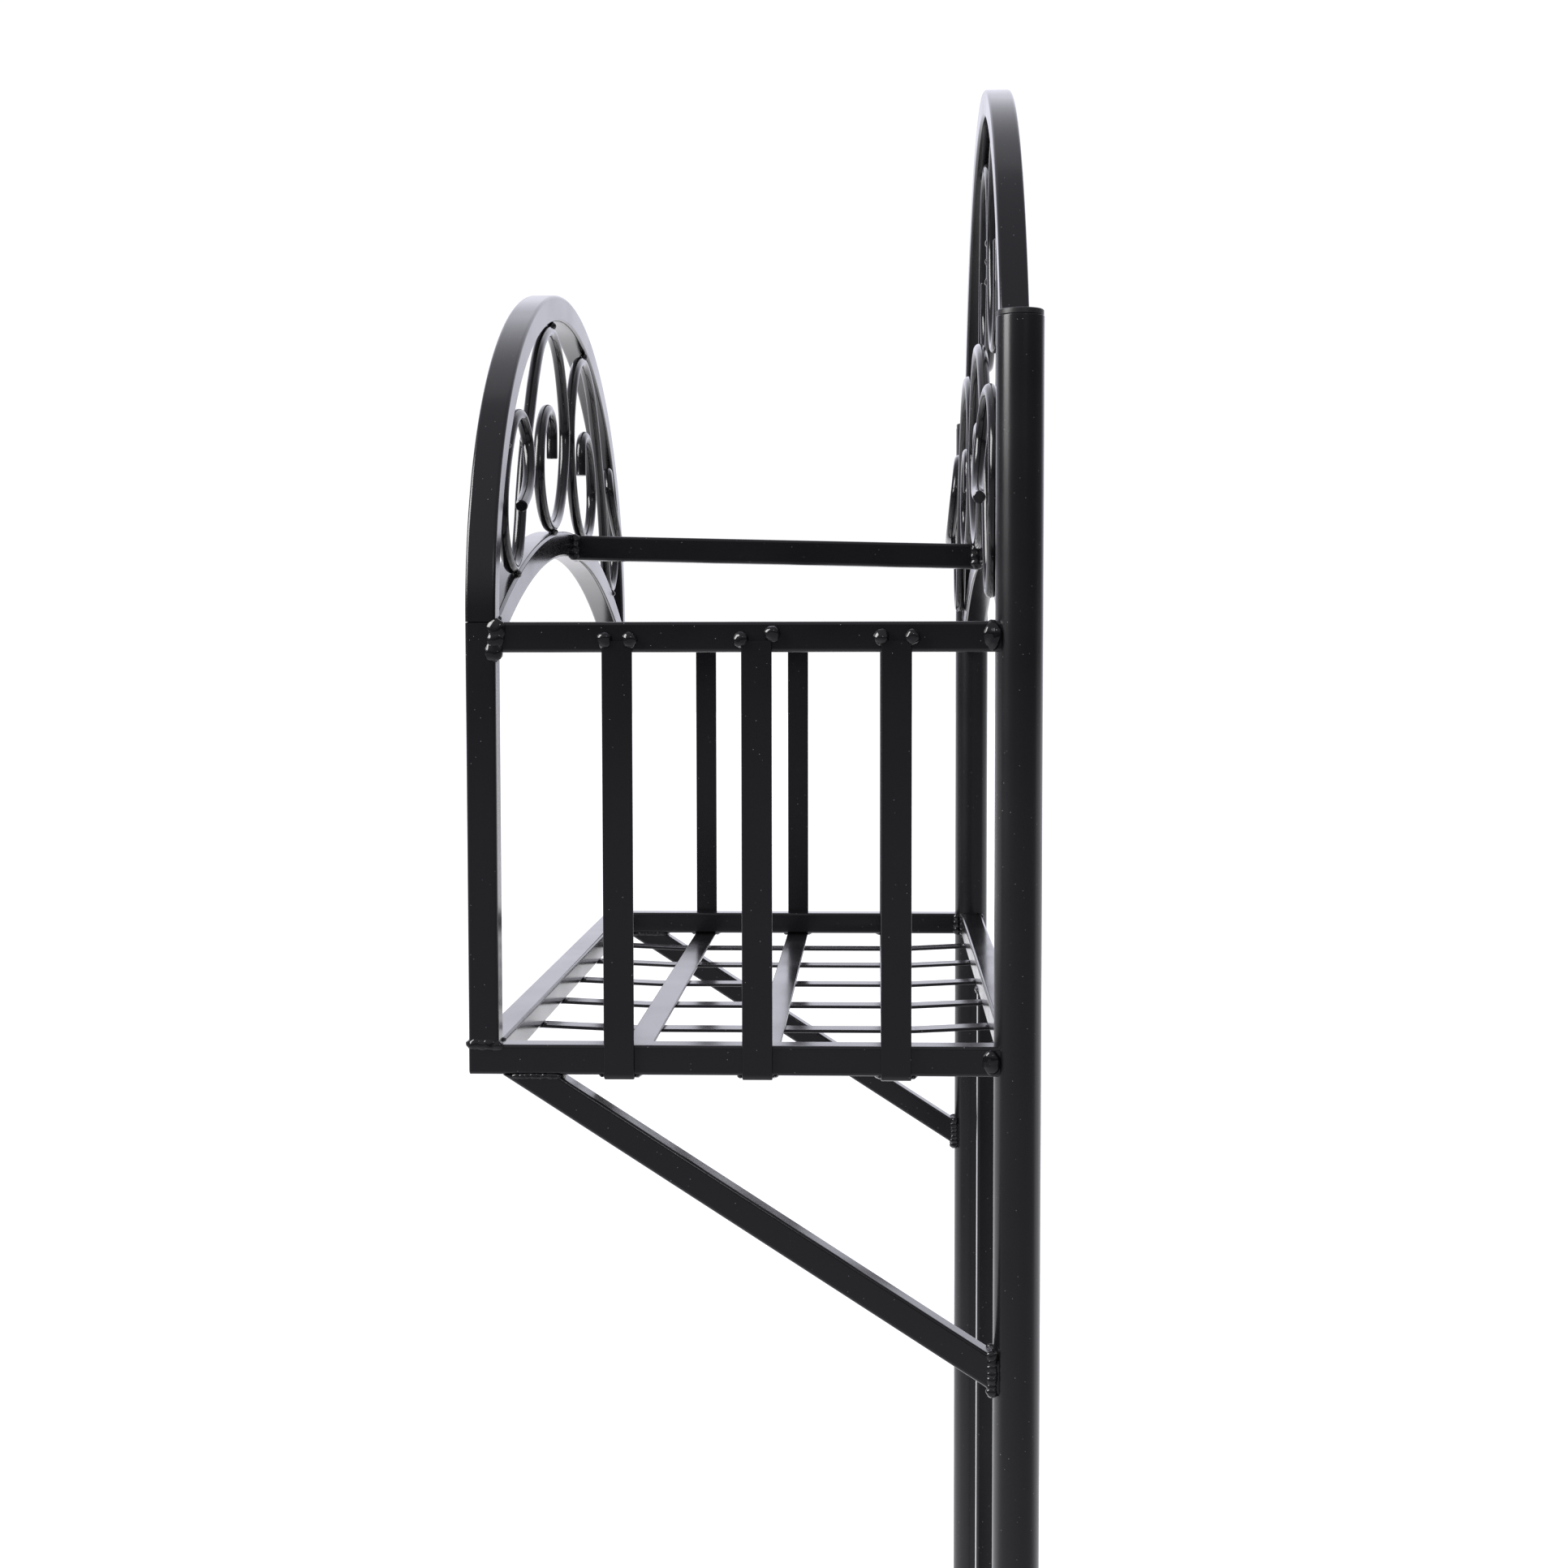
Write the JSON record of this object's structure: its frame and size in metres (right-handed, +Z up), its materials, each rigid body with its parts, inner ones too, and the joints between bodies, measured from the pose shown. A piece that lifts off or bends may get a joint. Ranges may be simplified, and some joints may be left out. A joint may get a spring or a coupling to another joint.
{
  "type": "metal trellis arch",
  "caption": "Welded steel trellis arch with round posts, scrolled front and back arches and an open basket shelf with a slatted floor on sloping braces.",
  "frame": {"origin": "on the ground midway between the two round posts, on the line through their centres", "axes": "+Z up along the posts, +Y from the basket's front towards the posts and on to the back, +X to the right seen from the front"},
  "size_m": [0.65, 0.3025, 1.478],
  "materials": {
    "coated_steel": "satin black powder coat over mild steel, light orange peel",
    "plug_plastic": "moulded black polyethylene plug"
  },
  "bodies": {
    "root": {"back_arch": "coated_steel", "back_inner_arch": "coated_steel", "back_scroll_lower_left": "coated_steel", "back_scroll_lower_right": "coated_steel", "back_scroll_upper_left": "coated_steel", "back_scroll_upper_right": "coated_steel", "bottom_side_rail_left": "coated_steel", "bottom_side_rail_right": "coated_steel", "brace_left": "coated_steel", "brace_right": "coated_steel", "centre_bar": "coated_steel", "floor_bar_1": "coated_steel", "floor_bar_2": "coated_steel", "floor_bar_3": "coated_steel", "floor_bar_4": "coated_steel", "floor_bar_5": "coated_steel", "floor_bar_6": "coated_steel", "foot_plug_left": "plug_plastic", "foot_plug_right": "plug_plastic", "front_arch": "coated_steel", "front_bottom_rail": "coated_steel", "front_inner_arch": "coated_steel", "front_leg_left": "coated_steel", "front_leg_right": "coated_steel", "front_scroll_left": "coated_steel", "front_scroll_right": "coated_steel", "low_cross_rail": "coated_steel", "post_cap_left": "plug_plastic", "post_cap_right": "plug_plastic", "post_left": "coated_steel", "post_right": "coated_steel", "rail_end_plug_left": "plug_plastic", "rail_end_plug_right": "plug_plastic", "rear_bottom_rail": "coated_steel", "strap_front": "coated_steel", "strap_middle": "coated_steel", "strap_rear": "coated_steel", "tie_bar": "coated_steel", "top_side_rail_left": "coated_steel", "top_side_rail_right": "coated_steel"}
  },
  "joints": []
}
